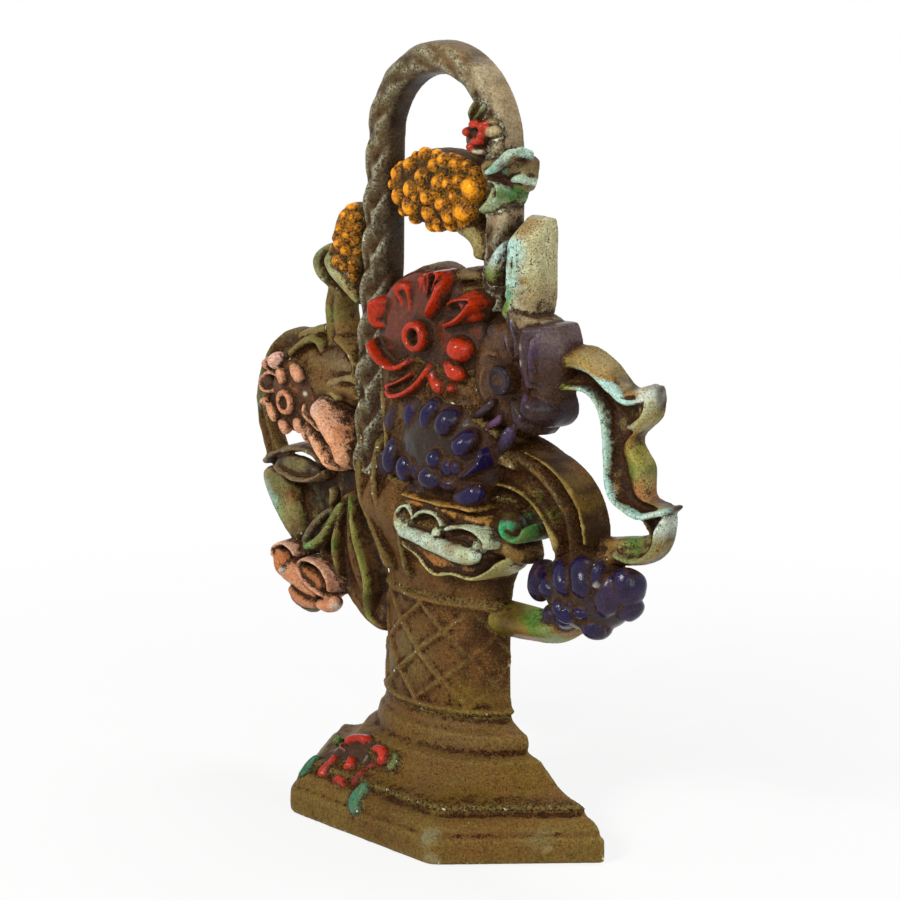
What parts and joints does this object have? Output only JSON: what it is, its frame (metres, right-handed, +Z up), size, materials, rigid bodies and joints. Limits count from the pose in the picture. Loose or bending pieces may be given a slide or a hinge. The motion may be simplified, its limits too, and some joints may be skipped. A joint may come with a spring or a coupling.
{
  "type": "cast iron doorstop",
  "caption": "Painted cast iron doorstop: a flat-backed relief of a footed lattice basket with a rope handle, filled with mixed flowers and trailing ribbons.",
  "frame": {"origin": "centre of the front face's width on the plinth's underside, halfway between the flat back and the front", "axes": "+Z up from the floor, +X to the viewer's right, -Y towards the decorated front, +Y the flat back"},
  "size_m": [0.2075, 0.045, 0.27],
  "materials": {
    "olive_enamel": "glossy hand-painted enamel over cast iron, worn at the edges",
    "brown_enamel": "glossy hand-painted enamel over cast iron, worn at the edges",
    "green_enamel": "glossy hand-painted enamel over cast iron, worn at the edges",
    "red_enamel": "glossy hand-painted enamel over cast iron, worn at the edges",
    "grey_brown_enamel": "glossy hand-painted enamel over cast iron, worn at the edges",
    "cream_enamel": "glossy hand-painted enamel over cast iron, worn at the edges",
    "aqua_enamel": "glossy hand-painted enamel over cast iron, worn at the edges",
    "pink_enamel": "glossy hand-painted enamel over cast iron, worn at the edges",
    "blue_enamel": "glossy hand-painted enamel over cast iron, worn at the edges",
    "purple_enamel": "glossy hand-painted enamel over cast iron, worn at the edges",
    "yellow_enamel": "glossy hand-painted enamel over cast iron, worn at the edges"
  },
  "bodies": {
    "root": {"base_plinth": "olive_enamel", "stepped_foot": "brown_enamel", "base_leaves": "green_enamel", "base_flower": "red_enamel", "basket_stem": "brown_enamel", "basket_bowl": "brown_enamel", "rope_handle": "grey_brown_enamel", "bouquet_core": "brown_enamel", "upright_leaf": "cream_enamel", "right_ribbon": "aqua_enamel", "arched_sheath": "brown_enamel", "mum_stalk": "green_enamel", "pale_leaf_tips": "aqua_enamel", "left_cup_leaf": "cream_enamel", "left_flower_stem": "olive_enamel", "left_leaf_mass": "olive_enamel", "pink_bell": "pink_enamel", "left_ribbon": "olive_enamel", "left_ribbon_loop": "aqua_enamel", "lower_left_leaf": "olive_enamel", "red_poppy": "red_enamel", "poppy_ring": "red_enamel", "blue_aster": "blue_enamel", "purple_flower": "purple_enamel", "purple_button": "purple_enamel", "blue_mum": "blue_enamel", "cream_trumpet": "cream_enamel", "flower_bud": "green_enamel", "small_red_flower": "red_enamel", "pink_daisy": "pink_enamel", "daisy_ring": "pink_enamel", "lobed_pink_flower": "pink_enamel", "centre_bead_cluster": "yellow_enamel", "left_bead_cluster": "yellow_enamel"}
  },
  "joints": []
}
